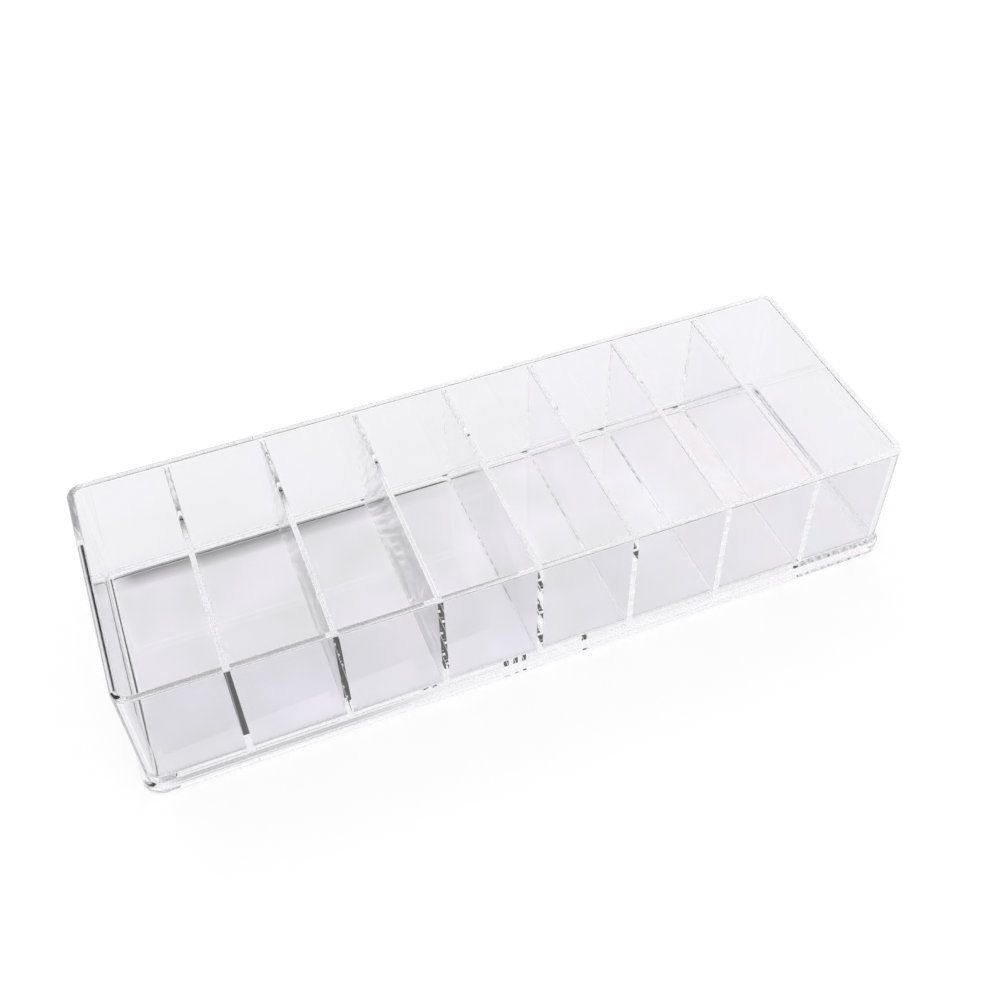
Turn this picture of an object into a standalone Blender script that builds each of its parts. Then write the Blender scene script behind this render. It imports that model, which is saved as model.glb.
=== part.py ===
"""Clear attachment tray: a base plate, a ring of walls and seven dividers that make eight compartments.

Metres, +Z up. The origin is the middle of the underside, X runs along the tray and Y across it.
Every piece starts as a drawn section: the base is an extruded outline with a shallow recess under it,
the walls are a section swept round a path, and a divider is what two extrusions share, one seen from its
end and one from its side.
"""
import math

import bmesh
import bpy

# Overall sizes, measured over the walls
TRAY_LENGTH = 0.240
TRAY_WIDTH = 0.0834
INNER_DEPTH = 0.0412
DIVIDER_COUNT = 7

# Walls
WALL_THICKNESS = 0.0022
WALL_CORNER_RADIUS = 0.0048
RIM_ROUNDING = 0.0005
COVE_RADIUS = 0.0023
COVE_TOE = 0.00025

# Base plate, and the shallow recess that leaves it standing on a rim
BASE_THICKNESS = 0.0036
BASE_MARGIN = 0.0013
BASE_EDGE_ROUNDING = 0.0007
UNDERSIDE_RIM_WIDTH = 0.0035
UNDERSIDE_RECESS = 0.0008

# Dividers
DIVIDER_TOP_THICKNESS = 0.0017
DIVIDER_FOOT_THICKNESS = 0.0020
DIVIDER_TOP_ROUNDING = 0.0006
DIVIDER_DROP = 0.0014
ROOT_FILLET = 0.0004
ROOT_TOE = 0.00025

# The line of cement between two bonded pieces, how far a cutting shape runs past what it cuts,
# and how near two points lie that are one
BOND_GAP = 0.0003
OVERRUN = 0.004
WELD_DISTANCE = 0.000001

# Fineness of the round stretches
CORNER_STEPS = 12
COVE_STEPS = 6
EDGE_STEPS = 4

# A rounding takes at most this share of the thickness that it rounds
LARGEST_ROUNDING_SHARE = 0.45

# Clear plastic
CLEAR_COLOUR = (0.93, 0.93, 0.96, 1.0)
CLEAR_ROUGHNESS = 0.04
CLEAR_IOR = 1.49

# Heights above the table
FOOT_HEIGHT = BASE_THICKNESS + BOND_GAP
RIM_HEIGHT = BASE_THICKNESS + INNER_DEPTH
DIVIDER_TOP_HEIGHT = RIM_HEIGHT - DIVIDER_DROP

# Places worked out from the sizes above
PITCH = TRAY_LENGTH / (DIVIDER_COUNT + 1)
INNER_HALF_WIDTH = TRAY_WIDTH / 2 - WALL_THICKNESS
COVE_EDGE = INNER_HALF_WIDTH - COVE_RADIUS


def clear_scene():
    """Remove every object of the open scene."""
    for obj in list(bpy.data.objects):
        bpy.data.objects.remove(obj, do_unlink=True)


def new_collection(name):
    """A collection of this name in the scene."""
    collection = bpy.data.collections.new(name)
    bpy.context.scene.collection.children.link(collection)
    return collection


def clear_plastic(name):
    """A see-through, glossy plastic with the faint cool tint of the real one."""
    material = bpy.data.materials.new(name)
    material.use_nodes = True
    shader = material.node_tree.nodes["Principled BSDF"]
    shader.inputs["Base Color"].default_value = CLEAR_COLOUR
    shader.inputs["Roughness"].default_value = CLEAR_ROUGHNESS
    shader.inputs["Metallic"].default_value = 0.0
    shader.inputs["IOR"].default_value = CLEAR_IOR
    shader.inputs["Transmission Weight"].default_value = 1.0
    return material


def arc(centre, radius, start, end, steps):
    """Points of an arc about a 2D centre, from one angle to another in degrees, both ends included."""
    points = []
    for step in range(steps + 1):
        angle = math.radians(start + (end - start) * step / steps)
        points.append((centre[0] + radius * math.cos(angle), centre[1] + radius * math.sin(angle)))
    return points


def rounded_rectangle(length, width, radius):
    """Counter-clockwise outline of a rectangle with rounded corners, centred on the origin."""
    across = length / 2 - radius
    along = width / 2 - radius
    outline = arc((across, -along), radius, -90, 0, CORNER_STEPS)
    outline += arc((across, along), radius, 0, 90, CORNER_STEPS)
    outline += arc((-across, along), radius, 90, 180, CORNER_STEPS)
    outline += arc((-across, -along), radius, 180, 270, CORNER_STEPS)
    return outline


def mirrored(right):
    """A closed outline from its right half, which is listed from foot to top."""
    return right + [(-across, height) for across, height in reversed(right)]


def wall_section():
    """Section of the wall, as (outward from its outer face, height above its foot).

    It starts at the blunt toe that lies on the base, goes up the cove and the inner face, over the
    rounded rim and down the outer face.
    """
    rim = RIM_HEIGHT - FOOT_HEIGHT
    rounding = min(RIM_ROUNDING, WALL_THICKNESS * LARGEST_ROUNDING_SHARE)
    inner = -WALL_THICKNESS
    section = [(inner - COVE_RADIUS, 0.0)]
    section += arc((inner - COVE_RADIUS, COVE_TOE + COVE_RADIUS), COVE_RADIUS, -90, 0, COVE_STEPS)
    section += arc((inner + rounding, rim - rounding), rounding, 180, 90, EDGE_STEPS)
    section += arc((-rounding, rim - rounding), rounding, 90, 0, EDGE_STEPS)
    section.append((0.0, 0.0))
    return section


def divider_end_section():
    """Outline of a divider seen from its end, as (across its thickness, height above the table).

    The sides lean in towards the top, the top edges are rounded and a small fillet spreads the foot.
    """
    top = DIVIDER_TOP_HEIGHT
    half_top = DIVIDER_TOP_THICKNESS / 2
    half_foot = DIVIDER_FOOT_THICKNESS / 2
    rounding = min(DIVIDER_TOP_ROUNDING, DIVIDER_TOP_THICKNESS * LARGEST_ROUNDING_SHARE)
    spread = half_foot + ROOT_FILLET
    right = [(spread, FOOT_HEIGHT)]
    right += arc((spread, FOOT_HEIGHT + ROOT_TOE + ROOT_FILLET), ROOT_FILLET, 270, 180, EDGE_STEPS)
    right += arc((half_top - rounding, top - rounding), rounding, 0, 90, EDGE_STEPS)
    return mirrored(right)


def divider_space_outline():
    """The space between the front and back walls, seen from the end of the tray, as (along Y, height).

    It keeps a line of cement off the walls, their cove and its toe, and runs past the foot and the
    top of the dividers.
    """
    cove_foot = FOOT_HEIGHT + COVE_TOE
    right = [(COVE_EDGE - BOND_GAP, FOOT_HEIGHT - OVERRUN)]
    right.append((COVE_EDGE - BOND_GAP, cove_foot + BOND_GAP))
    right += arc((COVE_EDGE, cove_foot + COVE_RADIUS), COVE_RADIUS - BOND_GAP, -90, 0, COVE_STEPS)
    right.append((INNER_HALF_WIDTH - BOND_GAP, RIM_HEIGHT + OVERRUN))
    return mirrored(right)


def closed_curve(name, outline, dimensions):
    """A closed curve with straight stretches between the points of an outline."""
    curve = bpy.data.curves.new(name, "CURVE")
    curve.dimensions = dimensions
    spline = curve.splines.new("POLY")
    spline.points.add(len(outline) - 1)
    for point, (x, y) in zip(spline.points, outline):
        point.co = (x, y, 0.0, 1.0)
    spline.use_cyclic_u = True
    return curve


def place(name, data, collection, location=(0.0, 0.0, 0.0), rotation=(0.0, 0.0, 0.0)):
    """An object for this mesh or curve in a collection, turned by angles in degrees."""
    obj = bpy.data.objects.new(name, data)
    obj.location = location
    obj.rotation_euler = [math.radians(angle) for angle in rotation]
    collection.objects.link(obj)
    bpy.context.view_layer.update()
    return obj


def extruded_mesh(name, outline, thickness, collection, rotation=(0.0, 0.0, 0.0)):
    """A closed mesh of an extruded outline, turned by angles in degrees, with its caps welded on."""
    curve = closed_curve(name, outline, "2D")
    curve.fill_mode = "BOTH"
    curve.extrude = thickness / 2
    drawn = place(name + "_outline", curve, collection, rotation=rotation)
    evaluated = drawn.evaluated_get(bpy.context.evaluated_depsgraph_get())
    mesh = bpy.data.meshes.new_from_object(evaluated)
    mesh.name = name
    mesh.transform(drawn.matrix_world)
    bpy.data.objects.remove(drawn, do_unlink=True)
    shape = bmesh.new()
    shape.from_mesh(mesh)
    bmesh.ops.remove_doubles(shape, verts=shape.verts, dist=WELD_DISTANCE)
    bmesh.ops.recalc_face_normals(shape, faces=shape.faces)
    shape.to_mesh(mesh)
    shape.free()
    return mesh


def as_guide(obj):
    """Mark an object as a shape that only helps to make the others."""
    obj.hide_render = True
    obj.display_type = "WIRE"


def smooth_round_parts(mesh, sharpest=30.0):
    """Shade the round stretches smooth and keep edges sharper than this many degrees."""
    mesh.shade_smooth()
    mesh.set_sharp_from_angle(angle=math.radians(sharpest))


def base_outline(inset):
    """Outline of the base plate this far in from its edge, with corners that follow the walls."""
    reach = BASE_MARGIN - inset
    return rounded_rectangle(TRAY_LENGTH + 2 * reach, TRAY_WIDTH + 2 * reach, WALL_CORNER_RADIUS + reach)


def build_base_plate(parts, guides, material):
    """The floor slab, with softened edges and a recess that leaves a rim to stand on."""
    mesh = extruded_mesh("base_plate", base_outline(0.0), BASE_THICKNESS, parts)
    mesh.materials.append(material)
    smooth_round_parts(mesh)
    base = place("base_plate", mesh, parts, location=(0.0, 0.0, BASE_THICKNESS / 2))
    edges = base.modifiers.new("Softened edges", "BEVEL")
    edges.width = min(BASE_EDGE_ROUNDING, BASE_THICKNESS * LARGEST_ROUNDING_SHARE)
    edges.segments = EDGE_STEPS
    edges.limit_method = "ANGLE"
    cutter = extruded_mesh("underside", base_outline(UNDERSIDE_RIM_WIDTH), UNDERSIDE_RECESS + OVERRUN, guides)
    cutter_guide = place("underside", cutter, guides, location=(0.0, 0.0, (UNDERSIDE_RECESS - OVERRUN) / 2))
    as_guide(cutter_guide)
    recess = base.modifiers.new("Recess", "BOOLEAN")
    recess.operation = "DIFFERENCE"
    recess.solver = "EXACT"
    recess.object = cutter_guide


def build_wall_band(parts, guides, material):
    """The four walls as one ring: the wall's section swept along the outer face of the tray."""
    section_guide = place("wall_section", closed_curve("wall_section", wall_section(), "2D"), guides)
    as_guide(section_guide)
    outer_face = rounded_rectangle(TRAY_LENGTH, TRAY_WIDTH, WALL_CORNER_RADIUS)
    path = closed_curve("wall_band", outer_face, "3D")
    path.twist_mode = "Z_UP"
    path.bevel_mode = "OBJECT"
    path.bevel_object = section_guide
    path.materials.append(material)
    place("wall_band", path, parts, location=(0.0, 0.0, FOOT_HEIGHT))


def build_dividers(parts, guides, material):
    """Seven equal dividers: one drafted extrusion each, trimmed to the space between the walls."""
    space = extruded_mesh("divider_space", divider_space_outline(), TRAY_LENGTH, guides, (90.0, 0.0, 90.0))
    space_guide = place("divider_space", space, guides)
    as_guide(space_guide)
    blank = extruded_mesh("divider", divider_end_section(), TRAY_WIDTH + OVERRUN, parts, (90.0, 0.0, 0.0))
    blank.materials.append(material)
    smooth_round_parts(blank)
    for number in range(1, DIVIDER_COUNT + 1):
        middle = (number - (DIVIDER_COUNT + 1) / 2) * PITCH
        divider = place(f"divider_{number}", blank, parts, location=(middle, 0.0, 0.0))
        trim = divider.modifiers.new("Trim to the walls", "BOOLEAN")
        trim.operation = "INTERSECT"
        trim.solver = "EXACT"
        trim.object = space_guide


def build():
    """Make the whole tray."""
    clear_scene()
    parts = new_collection("Attachment tray")
    guides = new_collection("Guides")
    material = clear_plastic("Clear plastic")
    build_base_plate(parts, guides, material)
    build_wall_band(parts, guides, material)
    build_dividers(parts, guides, material)


build()
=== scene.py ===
# %% [markdown]
# A clear storage tray with eight slots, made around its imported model
#
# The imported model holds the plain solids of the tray: a floor slab, a ring of walls and seven cross walls.
# This lesson makes the same pieces again with the soft edges, coves and faint waves of moulded clear
# plastic, and then lights them so that their edges show. Everything is in metres, with Z up, and each new
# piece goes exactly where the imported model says.

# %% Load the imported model
import math

import bmesh
import bpy
from mathutils import Euler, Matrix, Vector


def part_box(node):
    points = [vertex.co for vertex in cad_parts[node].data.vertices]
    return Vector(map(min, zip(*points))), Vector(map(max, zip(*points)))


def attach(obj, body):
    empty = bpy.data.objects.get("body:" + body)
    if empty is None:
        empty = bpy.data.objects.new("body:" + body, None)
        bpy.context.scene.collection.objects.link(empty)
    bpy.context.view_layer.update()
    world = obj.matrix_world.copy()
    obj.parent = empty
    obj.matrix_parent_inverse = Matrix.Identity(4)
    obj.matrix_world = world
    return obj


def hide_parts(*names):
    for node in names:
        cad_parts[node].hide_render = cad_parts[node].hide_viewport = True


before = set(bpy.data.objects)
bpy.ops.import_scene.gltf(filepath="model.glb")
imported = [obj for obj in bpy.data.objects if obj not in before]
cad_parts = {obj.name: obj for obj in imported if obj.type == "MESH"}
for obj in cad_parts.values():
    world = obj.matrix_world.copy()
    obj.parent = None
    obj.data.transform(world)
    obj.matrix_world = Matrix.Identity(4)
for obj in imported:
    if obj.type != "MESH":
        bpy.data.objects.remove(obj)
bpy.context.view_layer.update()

print("packed nodes:", ", ".join(sorted(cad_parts)))

# %% [markdown]
# The sizes
#
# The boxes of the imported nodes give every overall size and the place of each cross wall. What a box doesn't
# show is typed here: how thick the walls are, and how large their roundings, coves and recess.

# %% Sizes from the boxes, and those that a box doesn't show
base_low, base_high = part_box("base_plate")
ring_low, ring_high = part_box("wall_band")
CROSS_WALL_NODES = sorted(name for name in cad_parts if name.startswith("divider_"))

WALL_THICKNESS = 0.0022
WALL_CORNER_RADIUS = 0.0048
COVE_RADIUS = 0.0023
# The cove ends this far above the floor
COVE_TOE = 0.00025
RIM_ROUNDING = 0.0005
BASE_EDGE_ROUNDING = 0.0007
BASE_FOOT_ROUNDING = 0.00015
UNDERSIDE_RIM_WIDTH = 0.0035
UNDERSIDE_RECESS = 0.0008
CROSS_WALL_TOP = 0.0017
CROSS_WALL_FOOT = 0.0020
CROSS_TOP_ROUNDING = 0.0006
FOOT_FILLET = 0.00025
# Bonded pieces sink this far into each other, so that no air shows in the joint
BOND_OVERLAP = 0.00003
print("cross walls in the packed model:", len(CROSS_WALL_NODES))

# %% Places that follow from the sizes
BASE_MARGIN = base_high.x - ring_high.x
FLOOR_HEIGHT = base_high.z
INNER_Y = ring_high.y - WALL_THICKNESS
# How far from the middle the coves begin, to the right or left and to the front or back
TOE_X = ring_high.x - WALL_THICKNESS - COVE_RADIUS
TOE_Y = INNER_Y - COVE_RADIUS
print("base stands proud of the walls by, mm:", round(1000 * BASE_MARGIN, 2))

# %% [markdown]
# The camera
#
# The photograph looks down on the tray at about 48 degrees from its left front, through a mild telephoto
# lens. A camera points along its own -Z, so a direction can be turned into a rotation with to_track_quat.
# The photograph is tilted by a degree and a half, which the roll gives.

# %% Camera
CAMERA_PLACE = Vector((-0.08669, -0.24099, 0.31339))
CAMERA_TARGET = Vector((0.01297, 0.02517, 0.0))
CAMERA_ROLL = math.radians(-1.45)
CAMERA_LENS = 44.379
CAMERA_SENSOR = 36.0
CAMERA_NEAREST = 0.01


def add_camera():
    """The camera that looks at the tray as the photograph does."""
    data = bpy.data.cameras.new("Camera")
    data.lens = CAMERA_LENS
    data.sensor_width = CAMERA_SENSOR
    data.clip_start = CAMERA_NEAREST
    camera = bpy.data.objects.new("Camera", data)
    look = (CAMERA_TARGET - CAMERA_PLACE).to_track_quat("-Z", "Y")
    camera.rotation_mode = "QUATERNION"
    camera.rotation_quaternion = look @ Euler((0.0, 0.0, CAMERA_ROLL)).to_quaternion()
    camera.location = CAMERA_PLACE
    bpy.context.scene.collection.objects.link(camera)
    bpy.context.scene.camera = camera
    return camera


camera = add_camera()
axes = camera.rotation_quaternion.to_matrix()
print("camera right", [round(x, 4) for x in axes.col[0]], "up", [round(x, 4) for x in axes.col[1]])

# %% [markdown]
# Modelling by hand, in code
#
# Each piece starts as a block and is shaped in edit mode. An operator works on what is selected, so these
# helpers select points, edges and faces by where they lie. Everything is deselected first, because loading
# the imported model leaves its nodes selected. A finished piece is shaded smooth where it is round, and stays
# sharp where it is square.

# %% Start and finish a piece
SHARPEST = 35.0


def add_block(name, low, high):
    """A closed block between two corners, left in edit mode with its place in its mesh."""
    bpy.ops.object.select_all(action="DESELECT")
    bpy.ops.mesh.primitive_cube_add(size=1.0, location=(low + high) / 2)
    block = bpy.context.object
    block.name = name
    block.data.name = name
    block.scale = high - low
    bpy.ops.object.transform_apply(location=True, rotation=True, scale=True)
    bpy.ops.object.mode_set(mode="EDIT")
    return block


def finish_piece(piece):
    """Leave edit mode, with round stretches shaded smooth and flat faces kept flat, and report the piece."""
    bpy.ops.object.mode_set(mode="OBJECT")
    bpy.ops.object.shade_smooth_by_angle(angle=math.radians(SHARPEST))
    bpy.ops.object.modifier_add(type="WEIGHTED_NORMAL")
    weighted = piece.modifiers[-1]
    weighted.keep_sharp = True
    bpy.ops.object.modifier_apply(modifier=weighted.name)
    print(f"{piece.name}: {len(piece.data.vertices)} points, {len(piece.data.polygons)} faces")
    return piece


print("edges that turn by more stay sharp, degrees:", SHARPEST)

# %% Select by place
NEAR = 0.00002


def select_parts(kind, test):
    """In edit mode, select just the parts of one kind that pass the test, and return how many they are."""
    bpy.ops.mesh.select_mode(type=kind)
    bpy.ops.mesh.select_all(action="DESELECT")
    mesh = bmesh.from_edit_mesh(bpy.context.object.data)
    parts = {"VERT": mesh.verts, "EDGE": mesh.edges, "FACE": mesh.faces}[kind]
    chosen = [part for part in parts if test(part)]
    for part in chosen:
        part.select_set(True)
    bmesh.update_edit_mesh(bpy.context.object.data)
    return len(chosen)


def select_points(test):
    """Select the points whose place passes the test."""
    return select_parts("VERT", lambda point: test(point.co))


def select_edges(test):
    """Select the edges whose two ends pass the test."""
    return select_parts("EDGE", lambda edge: test(edge.verts[0].co, edge.verts[1].co))


def select_faces(test):
    """Select the faces whose centre and normal pass the test."""
    return select_parts("FACE", lambda face: test(face.calc_center_median(), face.normal))


print("places this close count as the same, mm:", 1000 * NEAR)

# %% Tests for edges and faces
# A face looks up when its normal's Z is more than FACING, and is level when it is more than FLAT
FACING = 0.9
FLAT = 0.99
# Faces this close to the floor's height lie in the floor
FLUSH = NEAR / 10


def upright(a, b):
    """Whether an edge between two points stands upright."""
    return abs(a.x - b.x) < NEAR and abs(a.y - b.y) < NEAR


def at_height(height):
    """A test for edges that lie level at this height."""
    return lambda a, b: abs(a.z - height) < NEAR and abs(b.z - height) < NEAR


def in_middle(centre):
    """Whether a face's centre lies in the middle of the tray, seen from above."""
    return abs(centre.x) < NEAR and abs(centre.y) < NEAR


def on_floor(centre, normal):
    """Whether a face lies flat in the top of the floor slab."""
    return normal.z > FLAT and abs(centre.z - FLOOR_HEIGHT) < FLUSH


print("faces of the floor lie this close to its height, mm:", round(1000 * FLUSH, 4))

# %% Cut along a plane
CUT_NEAR = 0.000001


def cut(place, normal):
    """In edit mode, cut what is selected along a plane."""
    bpy.ops.mesh.bisect(plane_co=place, plane_no=Vector(normal).normalized(), threshold=CUT_NEAR)


print("points this close to a plane count as on it, mm:", 1000 * CUT_NEAR)

# %% [markdown]
# Where the cross walls stand
#
# The pieces are bonded to each other with a cement that fills the joint, so light goes straight through it.
# The faces inside a joint get a material of their own later on. For that, the outline of each cross wall has
# to be cut into the long walls and into the floor that it stands on, along the planes of its two sides.

# %% The sides of the cross walls
CROSS_TOP_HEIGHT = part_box(CROSS_WALL_NODES[0])[1].z
CROSS_MIDDLES = [(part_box(node)[0].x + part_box(node)[1].x) / 2 for node in CROSS_WALL_NODES]


def half_thickness(height):
    """Half the thickness of a cross wall at a height."""
    share = (height - FLOOR_HEIGHT) / (CROSS_TOP_HEIGHT - FLOOR_HEIGHT)
    return (CROSS_WALL_FOOT + share * (CROSS_WALL_TOP - CROSS_WALL_FOOT)) / 2


def in_cross_wall(place, spare=0.0):
    """Whether a place lies between the two sides of a cross wall, or so far outside them."""
    return any(abs(place.x - middle) < half_thickness(place.z) + spare for middle in CROSS_MIDDLES)


def cut_sides(select, spare=0.0):
    """In edit mode, cut what select() selects along both sides of each cross wall."""
    lean = (CROSS_WALL_FOOT - CROSS_WALL_TOP) / 2
    for middle in CROSS_MIDDLES:
        for side in (-1, 1):
            at_top = (middle + side * (CROSS_WALL_TOP / 2 + spare), 0.0, CROSS_TOP_HEIGHT)
            select()
            cut(at_top, (side * (CROSS_TOP_HEIGHT - FLOOR_HEIGHT), 0.0, lean))


print("cross walls stand at x, mm:", [round(1000 * middle, 1) for middle in CROSS_MIDDLES])

# %% [markdown]
# The floor slab
#
# The slab is a little larger than the ring of walls, so that a lip shows all round its foot. A block gets
# its upright edges bevelled to the corner radius, and then its top and bottom edges to a small one. Two
# insets draw the outer and the inner outline of the walls on its top. Its underside is inset too and pushed
# up a little, so that the tray stands on a rim and its thin floor stays clear of the table.

# %% Floor slab
CORNER_STEPS = 32
EDGE_STEPS = 6


def select_floor():
    """In edit mode, select the part of the slab's top that shows in the compartments."""
    shows = lambda centre: abs(centre.x) < TOE_X + NEAR and abs(centre.y) < TOE_Y + NEAR
    select_faces(lambda centre, normal: on_floor(centre, normal) and shows(centre))


def make_floor_slab():
    """The floor of the tray."""
    slab = add_block("floor_slab", base_low, base_high)
    select_edges(upright)
    bpy.ops.mesh.bevel(offset=WALL_CORNER_RADIUS + BASE_MARGIN, segments=CORNER_STEPS, affect="EDGES")
    for height, rounding in ((base_high.z, BASE_EDGE_ROUNDING), (base_low.z, BASE_FOOT_ROUNDING)):
        select_edges(at_height(height))
        bpy.ops.mesh.bevel(offset=rounding, segments=EDGE_STEPS, affect="EDGES")
    select_faces(lambda centre, normal: normal.z > FACING and in_middle(centre))
    bpy.ops.mesh.inset(thickness=BASE_MARGIN - BASE_EDGE_ROUNDING, depth=0.0)
    bpy.ops.mesh.inset(thickness=WALL_THICKNESS + COVE_RADIUS, depth=0.0)
    select_faces(lambda centre, normal: normal.z < -FACING and in_middle(centre))
    bpy.ops.mesh.inset(thickness=UNDERSIDE_RIM_WIDTH - BASE_FOOT_ROUNDING, depth=0.0)
    bpy.ops.mesh.extrude_region_move(TRANSFORM_OT_translate={"value": (0.0, 0.0, UNDERSIDE_RECESS)})
    cut_sides(select_floor, FOOT_FILLET)
    return finish_piece(slab)


floor_slab = make_floor_slab()

# %% [markdown]
# The ring of walls
#
# The walls could be swept along a path, but a hollowed block is quicker: its top is inset by the wall
# thickness and pushed down to the floor, the inner foot gets a cove, and then the inner and the outer
# underside are bridged, which opens the ring. The two loops of the rim are rounded after that. Last, the
# outlines of the cross walls are cut into the inner sides.

# %% Ring of walls
COVE_STEPS = 12
# The faces of a long wall and its cove have less X than this in their normals
SQUARE = 0.01


def in_long_wall(centre, normal):
    """Whether a face lies on the inner side of a long wall or in its cove, below the cross walls' tops."""
    along = abs(normal.x) < SQUARE and abs(centre.y) < INNER_Y + NEAR
    return along and centre.z < CROSS_TOP_HEIGHT


def select_inner_sides():
    """In edit mode, select the inner faces of the two long walls, with their coves."""
    select_faces(in_long_wall)


def make_wall_ring():
    """The four walls in one, open above and below, with a cove along the inner foot."""
    foot = Vector((ring_low.x, ring_low.y, FLOOR_HEIGHT - BOND_OVERLAP))
    ring = add_block("wall_ring", foot, ring_high)
    select_edges(upright)
    bpy.ops.mesh.bevel(offset=WALL_CORNER_RADIUS, segments=CORNER_STEPS, affect="EDGES")
    select_faces(lambda centre, normal: normal.z > FACING)
    bpy.ops.mesh.inset(thickness=WALL_THICKNESS, depth=0.0)
    cove_foot = FLOOR_HEIGHT + COVE_TOE
    down = (0.0, 0.0, cove_foot - ring_high.z)
    bpy.ops.mesh.extrude_region_move(TRANSFORM_OT_translate={"value": down})
    select_edges(at_height(cove_foot))
    bpy.ops.mesh.bevel(offset=COVE_RADIUS, segments=COVE_STEPS, affect="EDGES")
    select_faces(lambda centre, normal: abs(normal.z) > FACING and in_middle(centre))
    bpy.ops.mesh.bridge_edge_loops()
    select_faces(lambda centre, normal: normal.z > FACING and abs(centre.z - ring_high.z) < NEAR)
    bpy.ops.mesh.region_to_loop()
    bpy.ops.mesh.bevel(offset=RIM_ROUNDING, segments=EDGE_STEPS, affect="EDGES")
    select_inner_sides()
    cut((0.0, 0.0, CROSS_TOP_HEIGHT), (0.0, 0.0, 1.0))
    cut_sides(select_inner_sides)
    return finish_piece(ring)


wall_ring = make_wall_ring()

# %% [markdown]
# A cross wall
#
# Each cross wall gets thinner towards its top, so that it leaves its mould. A block as thick as the foot has
# its top face narrowed, and its foot ends are rounded to sit in the coves. Where the wall meets the floor it
# spreads in a small hollow fillet. A fillet could be a bevel, but a bevel needs both pieces in one mesh, so
# the wall is cut into thin slices near its foot instead, and each slice is pushed out by what an arc asks
# for. The top edges are softened last.

# %% Slices that follow a hollow fillet
FILLET_STEPS = 5
SLICE_NEAR = NEAR / 4


def fillet_slices(radius):
    """How far each slice lies from the surface that the fillet meets, and how far it is pushed out."""
    turns = [math.pi / 2 * step / FILLET_STEPS for step in range(FILLET_STEPS + 1)]
    return [(radius * (1 - math.cos(turn)), radius * (1 - math.sin(turn))) for turn in turns]


def spread_foot(middle):
    """In edit mode, cut a wall level near its foot, and spread each cut to both sides."""
    for distance, push in fillet_slices(FOOT_FILLET):
        height = FLOOR_HEIGHT + distance
        bpy.ops.mesh.select_all(action="SELECT")
        cut((0.0, 0.0, height), (0.0, 0.0, 1.0))
        for side in (-1, 1):
            select_points(lambda at: abs(at.z - height) < SLICE_NEAR and side * (at.x - middle) > 0)
            bpy.ops.transform.translate(value=(side * push, 0.0, 0.0))


for distance, push in fillet_slices(FOOT_FILLET):
    print(f"fillet slice: {1000 * distance:.3f} mm up, pushed out {1000 * push:.3f} mm")

# %% Cross walls


def make_cross_wall(name, node):
    """One cross wall, between the two long walls."""
    low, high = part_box(node)
    middle = (low.x + high.x) / 2
    reach = INNER_Y + BOND_OVERLAP
    start = Vector((middle - CROSS_WALL_FOOT / 2, -reach, FLOOR_HEIGHT - BOND_OVERLAP))
    end = Vector((middle + CROSS_WALL_FOOT / 2, reach, high.z))
    at_foot = at_height(start.z)
    at_top = at_height(end.z)
    wall = add_block(name, start, end)
    select_faces(lambda centre, normal: normal.z > FACING)
    narrowed = (CROSS_WALL_TOP / CROSS_WALL_FOOT, 1.0, 1.0)
    bpy.ops.transform.resize(value=narrowed, center_override=(middle, 0.0, end.z))
    select_edges(lambda a, b: at_foot(a, b) and abs(a.y - b.y) < NEAR)
    bpy.ops.mesh.bevel(offset=COVE_RADIUS, segments=COVE_STEPS, affect="EDGES")
    spread_foot(middle)
    select_edges(lambda a, b: at_top(a, b) and abs(a.y - b.y) > NEAR)
    bpy.ops.mesh.bevel(offset=CROSS_TOP_ROUNDING, segments=EDGE_STEPS, affect="EDGES")
    return finish_piece(wall)


cross_walls = []
for number, node in enumerate(CROSS_WALL_NODES, start=1):
    cross_walls.append(make_cross_wall(f"cross_wall_{number}", node))

# %% [markdown]
# Clear plastic
#
# Clear plastic is a shader with full transmission: light bends as it goes in and out, and a little is
# mirrored. Left like that it would look like water, because real moulded plastic is never quite even. It is
# a touch lavender where it is thick, faint patches drift towards grey-green, and its faces are very gently
# wavy. Its edges are left untinted, a painted highlight that makes them lighter than its broad faces.
# Towards its right end the floor is painted lighter, with faint pink and blue: a painted sheen. All pieces
# share these effects, so they are built once as node groups, and each material sets its own values.

# %% Node groups


def new_group(name, inputs, outputs):
    """An empty shader node group with its sockets, and its input and output nodes."""
    group = bpy.data.node_groups.new(name, "ShaderNodeTree")
    for label, kind, value in inputs:
        socket = group.interface.new_socket(name=label, in_out="INPUT", socket_type=kind)
        socket.default_value = value
    for label, kind in outputs:
        group.interface.new_socket(name=label, in_out="OUTPUT", socket_type=kind)
    print("made the group", name)
    return group, group.nodes.new("NodeGroupInput"), group.nodes.new("NodeGroupOutput")


def place_group(tree, group, values):
    """A node group placed in a material, with the material's own values. Returns its node."""
    node = tree.nodes.new("ShaderNodeGroup")
    node.node_tree = group
    for label, value in values.items():
        node.inputs[label].default_value = value
    return node


# %% Nodes for places and numbers


def add_place(tree):
    """The place of a point in its piece. Returns the output."""
    return tree.nodes.new("ShaderNodeTexCoord").outputs["Object"]


def split_place(tree, place):
    """The X, Y and Z of a place, as three outputs."""
    node = tree.nodes.new("ShaderNodeSeparateXYZ")
    tree.links.new(place, node.inputs["Vector"])
    return node.outputs["X"], node.outputs["Y"], node.outputs["Z"]


def add_math(tree, operation, first, second=None):
    """A math node in a tree, fed by sockets or numbers. Returns its output."""
    node = tree.nodes.new("ShaderNodeMath")
    node.operation = operation
    for slot, value in enumerate([first, second]):
        if value is None:
            continue
        if isinstance(value, (int, float)):
            node.inputs[slot].default_value = value
        else:
            tree.links.new(value, node.inputs[slot])
    return node.outputs["Value"]


def add_product(tree, first, second):
    """Two values multiplied. Returns the output."""
    return add_math(tree, "MULTIPLY", first, second)


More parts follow.
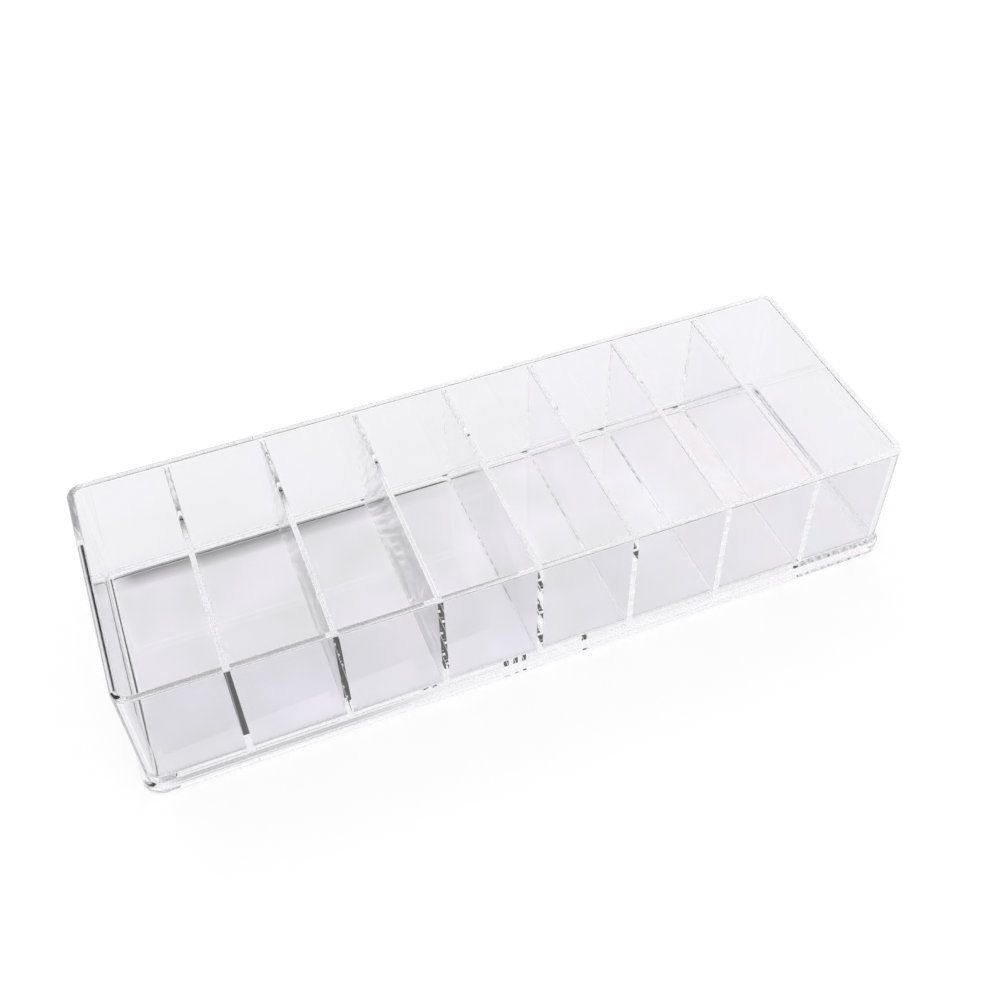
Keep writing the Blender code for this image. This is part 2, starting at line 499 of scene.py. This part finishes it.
def add_largest(tree, values):
    """The largest of several values. Returns the output."""
    largest = values[0]
    for value in values[1:]:
        largest = add_math(tree, "MAXIMUM", largest, value)
    return largest


def add_past(tree, distance, limit):
    """How far a distance from the middle, to either side, goes past a limit. Returns the output."""
    return add_math(tree, "SUBTRACT", add_math(tree, "ABSOLUTE", distance), limit)


print("ready: place, split, math, product, largest and past nodes")

# %% Nodes for colours and patterns


def add_range(tree, value, low, high, start=0.0, end=1.0):
    """A clamped map range node. Returns its output."""
    node = tree.nodes.new("ShaderNodeMapRange")
    tree.links.new(value, node.inputs["Value"])
    node.inputs["From Min"].default_value = low
    node.inputs["From Max"].default_value = high
    node.inputs["To Min"].default_value = start
    node.inputs["To Max"].default_value = end
    return node.outputs["Result"]


def add_noise(tree, place, scale, detail):
    """A noise texture node. Returns its value output."""
    node = tree.nodes.new("ShaderNodeTexNoise")
    node.inputs["Scale"].default_value = scale
    node.inputs["Detail"].default_value = detail
    tree.links.new(place, node.inputs["Vector"])
    return node.outputs["Fac"]


def add_colour(tree, colour):
    """A colour node. Returns its output."""
    node = tree.nodes.new("ShaderNodeRGB")
    node.outputs["Color"].default_value = colour
    return node.outputs["Color"]


def add_mix(tree, mask, first, second):
    """A colour mix node, with the second colour where the mask is 1. Returns its output."""
    node = tree.nodes.new("ShaderNodeMix")
    node.data_type = "RGBA"
    tree.links.new(mask, node.inputs[0])
    tree.links.new(first, node.inputs[6])
    tree.links.new(second, node.inputs[7])
    return node.outputs[2]


print("ready: range, noise, colour and mix nodes")

# %% The tint of the plastic, with its painted sheen and painted edge highlight, as a node group
WHITE = (1.0, 1.0, 1.0, 1.0)
PALE_GREY = (0.9, 0.9, 0.9, 1.0)
PATCH_SCALE = 38.0
PATCH_DETAIL = 2.0
PATCH_RANGE = (0.35, 0.65)
# Painted sheen: towards the right end the floor's tint is painted lighter, with faint pink and blue
SHEEN_SCALE = 55.0
SHEEN_DETAIL = 0.0
SHEEN_RANGE = (0.42, 0.58)
SHEEN_REACH = (0.035, 0.115)
SHEEN_PINK = (1.0, 0.965, 0.975, 1.0)
SHEEN_BLUE = (0.97, 0.98, 1.0, 1.0)
# Painted highlight: past the edge limits the tint gives way to white, so rims, tops and lip read lighter
EDGE_FADE = 0.0003


def make_tint_group():
    """Tint with faint patches, a painted sheen, and a painted highlight on edges past three distances from
    the middle.
    """
    sockets = [
        ("Tint", "NodeSocketColor", PALE_GREY),
        ("Patch Tint", "NodeSocketColor", PALE_GREY),
        ("Edge Tint", "NodeSocketColor", WHITE),
        ("Sheen", "NodeSocketFloat", 0.0),
        ("Edge X", "NodeSocketFloat", 1.0),
        ("Edge Y", "NodeSocketFloat", 1.0),
        ("Edge Z", "NodeSocketFloat", 1.0),
    ]
    group, given, result = new_group("Plastic tint with painted light", sockets, [("Colour", "NodeSocketColor")])
    place = add_place(group)
    x, y, z = split_place(group, place)
    patches = add_range(group, add_noise(group, place, PATCH_SCALE, PATCH_DETAIL), *PATCH_RANGE)
    tint = add_mix(group, patches, given.outputs["Tint"], given.outputs["Patch Tint"])
    # The painted sheen: lighter pastel pink and blue towards the right end
    hue = add_range(group, add_noise(group, place, SHEEN_SCALE, SHEEN_DETAIL), *SHEEN_RANGE)
    pastel = add_mix(group, hue, add_colour(group, SHEEN_PINK), add_colour(group, SHEEN_BLUE))
    sheen = add_product(group, add_range(group, x, *SHEEN_REACH), given.outputs["Sheen"])
    tint = add_mix(group, sheen, tint, pastel)
    # Painted highlight: past these limits the edges lose their tint and read lighter than the broad faces
    past_x = add_past(group, x, given.outputs["Edge X"])
    past_y = add_past(group, y, given.outputs["Edge Y"])
    past_z = add_math(group, "SUBTRACT", z, given.outputs["Edge Z"])
    edge = add_range(group, add_largest(group, [past_x, past_y, past_z]), -EDGE_FADE, 0.0)
    group.links.new(add_mix(group, edge, tint, given.outputs["Edge Tint"]), result.inputs["Colour"])
    return group


tint_group = make_tint_group()
print("tint group sockets:", [item.name for item in tint_group.interface.items_tree])

# %% The waves of the moulded faces, as a node group
WAVE_SCALE = 70.0
WAVE_DETAIL = 1.0


def make_wave_group():
    """The height of the gentle waves, from 0 to 1."""
    group, _, result = new_group("Moulding waves", [], [("Height", "NodeSocketFloat")])
    waves = add_noise(group, add_place(group), WAVE_SCALE, WAVE_DETAIL)
    group.links.new(waves, result.inputs["Height"])
    return group


wave_group = make_wave_group()

# %% A clear material to start from


def new_clear_material(name, ior):
    """A polished, fully see-through material. Returns it with its node tree and its shader."""
    material = bpy.data.materials.new(name)
    material.use_nodes = True
    shader = material.node_tree.nodes["Principled BSDF"]
    shader.inputs["Roughness"].default_value = 0.0
    shader.inputs["IOR"].default_value = ior
    shader.inputs["Transmission Weight"].default_value = 1.0
    print(f"made {name}, index of refraction {ior}")
    return material, material.node_tree, shader


# %% Clear plastic for the floor, the walls and the cross walls
PLASTIC_IOR = 1.49
WAVE_HEIGHT = 0.0000007
FLOOR_TINT = (0.965, 0.955, 0.982, 1.0)
FLOOR_PATCH = (0.91, 0.91, 0.918, 1.0)
# How strong the floor's painted sheen is
FLOOR_SHEEN = 0.9
WALL_TINT = (0.893, 0.885, 0.92, 1.0)
WALL_PATCH = (0.88, 0.88, 0.888, 1.0)
CROSS_TINT = (0.985, 0.98, 0.99, 1.0)
CROSS_PATCH = (0.965, 0.965, 0.97, 1.0)


def make_clear_plastic(name, values):
    """Wavy see-through plastic. The values are its tints, its painted sheen, and where its painted edge
    highlight begins.
    """
    material, tree, shader = new_clear_material(name, PLASTIC_IOR)
    tint = place_group(tree, tint_group, values)
    tree.links.new(tint.outputs["Colour"], shader.inputs["Base Color"])
    waves = place_group(tree, wave_group, {})
    bump = tree.nodes.new("ShaderNodeBump")
    bump.inputs["Distance"].default_value = WAVE_HEIGHT
    tree.links.new(waves.outputs["Height"], bump.inputs["Height"])
    tree.links.new(bump.outputs["Normal"], shader.inputs["Normal"])
    return material


# Each material says where its painted edge highlight begins, and the floor how strong its painted sheen is
floor_values = {"Tint": FLOOR_TINT, "Patch Tint": FLOOR_PATCH, "Sheen": FLOOR_SHEEN}
floor_values.update({"Edge X": ring_high.x, "Edge Y": ring_high.y})
wall_values = {"Tint": WALL_TINT, "Patch Tint": WALL_PATCH, "Edge Z": ring_high.z - RIM_ROUNDING}
cross_values = {"Tint": CROSS_TINT, "Patch Tint": CROSS_PATCH}
cross_values["Edge Z"] = CROSS_TOP_HEIGHT - CROSS_TOP_ROUNDING
floor_plastic = make_clear_plastic("Clear plastic floor", floor_values)
wall_plastic = make_clear_plastic("Clear plastic walls", wall_values)
cross_plastic = make_clear_plastic("Clear plastic cross walls", cross_values)

# %% [markdown]
# Bonded joints
#
# In a bonded joint the plastic goes on without a break, so light passes straight from one piece into the
# other. Glass with an index of refraction of 1 does that: it neither bends nor mirrors. Left out, every
# joint would mirror a little light, and the dark ends of the cross walls would turn grey. The cement leaves
# some pinhead bubbles, which tint it here and there.

# %% Bonded joint
JOINT_IOR = 1.0
BUBBLE_SCALE = 900.0
BUBBLE_DETAIL = 0.0
BUBBLE_RANGE = (0.68, 0.72)
BUBBLE_TINT = (0.9, 0.9, 0.92, 1.0)


def make_joint():
    """The material of the faces inside a bonded joint."""
    material, tree, shader = new_clear_material("Bonded joint", JOINT_IOR)
    noise = add_noise(tree, add_place(tree), BUBBLE_SCALE, BUBBLE_DETAIL)
    bubbles = add_range(tree, noise, *BUBBLE_RANGE)
    colour = add_mix(tree, bubbles, add_colour(tree, WHITE), add_colour(tree, BUBBLE_TINT))
    tree.links.new(colour, shader.inputs["Base Color"])
    return material


joint = make_joint()

# %% The faces that lie in a joint
# The ends and the foot of a cross wall have less X and less Z than this in their normals
END_LEAN = 0.3


def slab_joint(centre, normal):
    """The faces of the slab's top that lie under the walls."""
    if not on_floor(centre, normal):
        return False
    if abs(centre.x) > ring_high.x or abs(centre.y) > ring_high.y:
        return False
    return abs(centre.x) > TOE_X or abs(centre.y) > TOE_Y or in_cross_wall(centre, FOOT_FILLET)


def ring_joint(centre, normal):
    """The underside of the ring, and the faces that a cross wall's end covers."""
    return normal.z < -FACING or (in_long_wall(centre, normal) and in_cross_wall(centre))


def cross_wall_joint(centre, normal):
    """The two ends of a cross wall and its foot."""
    return abs(normal.x) < END_LEAN and normal.z < END_LEAN


def bond(piece, plastic, test):
    """Give a piece its plastic, and the bonded joint on the faces that pass the test."""
    piece.data.materials.append(plastic)
    piece.data.materials.append(joint)
    bpy.ops.object.select_all(action="DESELECT")
    piece.select_set(True)
    bpy.context.view_layer.objects.active = piece
    bpy.ops.object.mode_set(mode="EDIT")
    bonded = select_faces(test)
    piece.active_material_index = 1
    bpy.ops.object.material_slot_assign()
    bpy.ops.object.mode_set(mode="OBJECT")
    print(f"{piece.name}: {bonded} of {len(piece.data.polygons)} faces lie in a joint")


bond(floor_slab, floor_plastic, slab_joint)
bond(wall_ring, wall_plastic, ring_joint)
for piece in cross_walls:
    bond(piece, cross_plastic, cross_wall_joint)

# %% [markdown]
# The table and its contact shadow
#
# The tray stands on a plain white table. It is white for the camera, and also for what the plastic mirrors or
# lets through, so that it shows in the plastic as it does around it. The walls guide the view down to the
# table under their feet, and the table is darker there, as it is where anything rests on it. Even light makes
# that shadow too faint, so it is painted on the table, by place. It is deepest on the left, where it draws
# the black line along the left rim.

# %% The strips of the contact shadow
# A STRIP lies along a wall, between two distances in from the wall's outer face, and under the lip where they
# are below 0. FADES is how wide its two sides fade, CORNER is how far from a corner of the tray it begins and
# has its full SHADE, and REACH is between which X it changes its shade. A shade of 1 is black.
LEFT_STRIP = (0.0006, 0.0021)
LEFT_FADES = (0.0003, 0.0003)
LEFT_CORNER = (0.001, 0.0015)
LEFT_SHADE = 0.96
BACK_STRIP = (0.0, 0.0085)
BACK_FADES = (0.0003, 0.0055)
BACK_CORNER = (0.002, 0.01)
BACK_REACH = (ring_low.x / 2, 0.0)
BACK_SHADES = (0.6, 0.06)
FRONT_STRIP = (0.0028, 0.0048)
FRONT_FADES = (0.0005, 0.0005)
FRONT_SHADE = 0.42
LIP_STRIP = (-BASE_MARGIN, 0.003)
LIP_FADES = (0.0003, 0.0005)
LIP_CORNER = (WALL_CORNER_RADIUS, 2 * WALL_CORNER_RADIUS)
LIP_REACH = (ring_low.x / 2, ring_low.x / 4)
LIP_SHADE = 0.32
FOOT_STRIP = (-BASE_MARGIN, -BASE_MARGIN / 3)
FOOT_FADES = (0.0002, 0.0003)
FOOT_SHADE = 0.22


def add_strip(tree, distance, strip, fades, shade):
    """How dark a strip is at a distance: its shade between its two sides, which fade."""
    start, end = strip
    begun = add_range(tree, distance, start, start + fades[0])
    not_ended = add_range(tree, distance, end - fades[1], end, 1.0, 0.0)
    return add_product(tree, add_product(tree, begun, not_ended), shade)


print("widest strip, mm:", 1000 * (BACK_STRIP[1] - BACK_STRIP[0]))

# %% The contact shadow


def add_contact_shadow(tree):
    """How much light is left on the table, under and beside the feet of the walls."""
    x, y, _ = split_place(tree, add_place(tree))
    from_left = add_math(tree, "ADD", x, ring_high.x)
    from_back = add_math(tree, "SUBTRACT", ring_high.y, y)
    from_front = add_math(tree, "ADD", y, ring_high.y)
    from_side = add_math(tree, "SUBTRACT", ring_high.x, add_math(tree, "ABSOLUTE", x))
    from_end = add_math(tree, "MINIMUM", from_front, from_back)

    left_shade = add_range(tree, from_end, *LEFT_CORNER, 0.0, LEFT_SHADE)
    towards_right = add_range(tree, x, *BACK_REACH, *BACK_SHADES)
    back_shade = add_product(tree, add_range(tree, from_left, *BACK_CORNER), towards_right)
    past_corner = add_range(tree, from_side, *LIP_CORNER)
    lip_shade = add_product(tree, past_corner, add_range(tree, x, *LIP_REACH, LIP_SHADE, 0.0))
    foot_shade = add_product(tree, past_corner, FOOT_SHADE)

    strips = [
        add_strip(tree, from_left, LEFT_STRIP, LEFT_FADES, left_shade),
        add_strip(tree, from_back, BACK_STRIP, BACK_FADES, back_shade),
        add_strip(tree, from_front, FRONT_STRIP, FRONT_FADES, FRONT_SHADE),
        add_strip(tree, from_front, LIP_STRIP, LIP_FADES, lip_shade),
        add_strip(tree, from_front, FOOT_STRIP, FOOT_FADES, foot_shade),
    ]
    outside = add_largest(tree, [add_past(tree, x, base_high.x), add_past(tree, y, base_high.y)])
    under_slab = add_math(tree, "LESS_THAN", outside, 0.0)
    return add_math(tree, "SUBTRACT", 1.0, add_product(tree, add_largest(tree, strips), under_slab))


print("the shadow ends at the slab's edge, mm:", [round(1000 * side, 1) for side in base_high.xy])

# %% Table
TABLE_SIZE = 12.0
TABLE_GAP = 0.0002
TABLE_PAINT = 0.88
TABLE_GLOW = 0.15


def make_table_material():
    """White paint and a glow for every ray that can see it, both darkened by the contact shadow."""
    material = bpy.data.materials.new("White table")
    material.use_nodes = True
    tree = material.node_tree
    tree.nodes.remove(tree.nodes["Principled BSDF"])
    light = add_contact_shadow(tree)
    paint = tree.nodes.new("ShaderNodeBsdfDiffuse")
    tree.links.new(add_product(tree, light, TABLE_PAINT), paint.inputs["Color"])
    path = tree.nodes.new("ShaderNodeLightPath")
    kinds = ("Is Camera Ray", "Is Glossy Ray", "Is Transmission Ray")
    seen = add_largest(tree, [path.outputs[kind] for kind in kinds])
    glow = tree.nodes.new("ShaderNodeEmission")
    strength = add_product(tree, add_product(tree, seen, light), TABLE_GLOW)
    tree.links.new(strength, glow.inputs["Strength"])
    both = tree.nodes.new("ShaderNodeAddShader")
    tree.links.new(paint.outputs["BSDF"], both.inputs[0])
    tree.links.new(glow.outputs["Emission"], both.inputs[1])
    tree.links.new(both.outputs["Shader"], tree.nodes["Material Output"].inputs["Surface"])
    return material


def make_table():
    """The white table that the tray stands on."""
    bpy.ops.object.select_all(action="DESELECT")
    bpy.ops.mesh.primitive_plane_add(size=TABLE_SIZE, location=(0.0, 0.0, -TABLE_GAP))
    table = bpy.context.object
    table.name = "table"
    table.data.materials.append(make_table_material())
    print(f"table: {TABLE_SIZE:.0f} m wide")


make_table()

# %% [markdown]
# Black cards
#
# Clear plastic under even light has no edges, so black cards hang around it, outside the picture. The edges
# and ends that bend the view towards a card turn dark, and draw the tray. A card could be measured out in
# metres, but its direction and the angle that it covers are what the plastic shows, so those are given.

# %% Black cards
CARD_DISTANCE = 4.0
CARD_SHADE = 0.02


def direction(azimuth, elevation):
    """A unit vector towards a place around the tray: azimuth 0 is behind it, 90 is to its right."""
    turn = math.radians(azimuth)
    tilt = math.radians(elevation)
    return Vector((math.sin(turn) * math.cos(tilt), math.cos(turn) * math.cos(tilt), math.sin(tilt)))


def make_card(name, azimuth, elevation, width_angle, height_angle):
    """A card that faces the tray and covers so many degrees of its surroundings, seen only in the plastic."""
    width = 2 * CARD_DISTANCE * math.tan(math.radians(width_angle) / 2)
    height = 2 * CARD_DISTANCE * math.tan(math.radians(height_angle) / 2)
    towards = direction(azimuth, elevation)
    bpy.ops.object.select_all(action="DESELECT")
    bpy.ops.mesh.primitive_plane_add(size=1.0)
    card = bpy.context.object
    card.name = name
    card.scale = (width, height, 1.0)
    card.rotation_mode = "QUATERNION"
    card.rotation_quaternion = towards.to_track_quat("Z", "Y")
    card.location = towards * CARD_DISTANCE
    card.visible_camera = False
    card.visible_diffuse = False
    card.visible_shadow = False
    material = bpy.data.materials.new(name)
    material.use_nodes = True
    shader = material.node_tree.nodes["Principled BSDF"]
    shader.inputs["Base Color"].default_value = (CARD_SHADE, CARD_SHADE, CARD_SHADE, 1.0)
    shader.inputs["Roughness"].default_value = 1.0
    shader.inputs["Specular IOR Level"].default_value = 0.0
    card.data.materials.append(material)
    print(f"{name}: {width:.2f} x {height:.2f} m")


make_card("card_behind", azimuth=-3.5, elevation=48.2, width_angle=28.0, height_angle=16.2)
make_card("card_behind_left", azimuth=-32.0, elevation=44.6, width_angle=6.4, height_angle=3.6)

# %% [markdown]
# The world
#
# The rest of the studio is one even white, from all sides, like a white tent around the tray. Lamps would
# light it too, but they would leave hard highlights on the polished faces.

# %% World
WORLD_STRENGTH = 1.0


def make_world():
    """Even white light from everywhere."""
    world = bpy.data.worlds.new("Studio")
    bpy.context.scene.world = world
    world.use_nodes = True
    background = world.node_tree.nodes["Background"]
    background.inputs["Color"].default_value = WHITE
    background.inputs["Strength"].default_value = WORLD_STRENGTH
    print(f"{world.name}: even white light, strength {WORLD_STRENGTH}")


make_world()

# %% [markdown]
# Light paths
#
# A look through the tray goes through up to twenty faces, and the slab and the walls guide it further still,
# from side to side. A path that runs out of bounces turns black, so many bounces are allowed. Many more than
# these would take away the thin lines along the rims. Blender also blurs the view through glass after light
# has met a plain surface, to lose specks. That would trap light under the tray and turn its floor dark grey,
# so the blur is off.

# %% Render settings that clear plastic needs
PATH_BOUNCES = 64
DIFFUSE_BOUNCES = 12

scene = bpy.context.scene
scene.view_settings.view_transform = "Standard"
scene.cycles.max_bounces = PATH_BOUNCES
scene.cycles.transmission_bounces = PATH_BOUNCES
scene.cycles.glossy_bounces = PATH_BOUNCES
scene.cycles.diffuse_bounces = DIFFUSE_BOUNCES
scene.cycles.blur_glossy = 0.0
print("bounces in the plastic:", PATH_BOUNCES)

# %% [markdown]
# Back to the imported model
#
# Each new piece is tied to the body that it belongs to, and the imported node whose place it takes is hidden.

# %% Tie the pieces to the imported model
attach(floor_slab, "root")
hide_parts("base_plate")
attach(wall_ring, "root")
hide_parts("wall_band")
for piece, node in zip(cross_walls, CROSS_WALL_NODES):
    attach(piece, "root")
    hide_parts(node)
print("tied to the packed model:", 2 + len(cross_walls), "pieces")
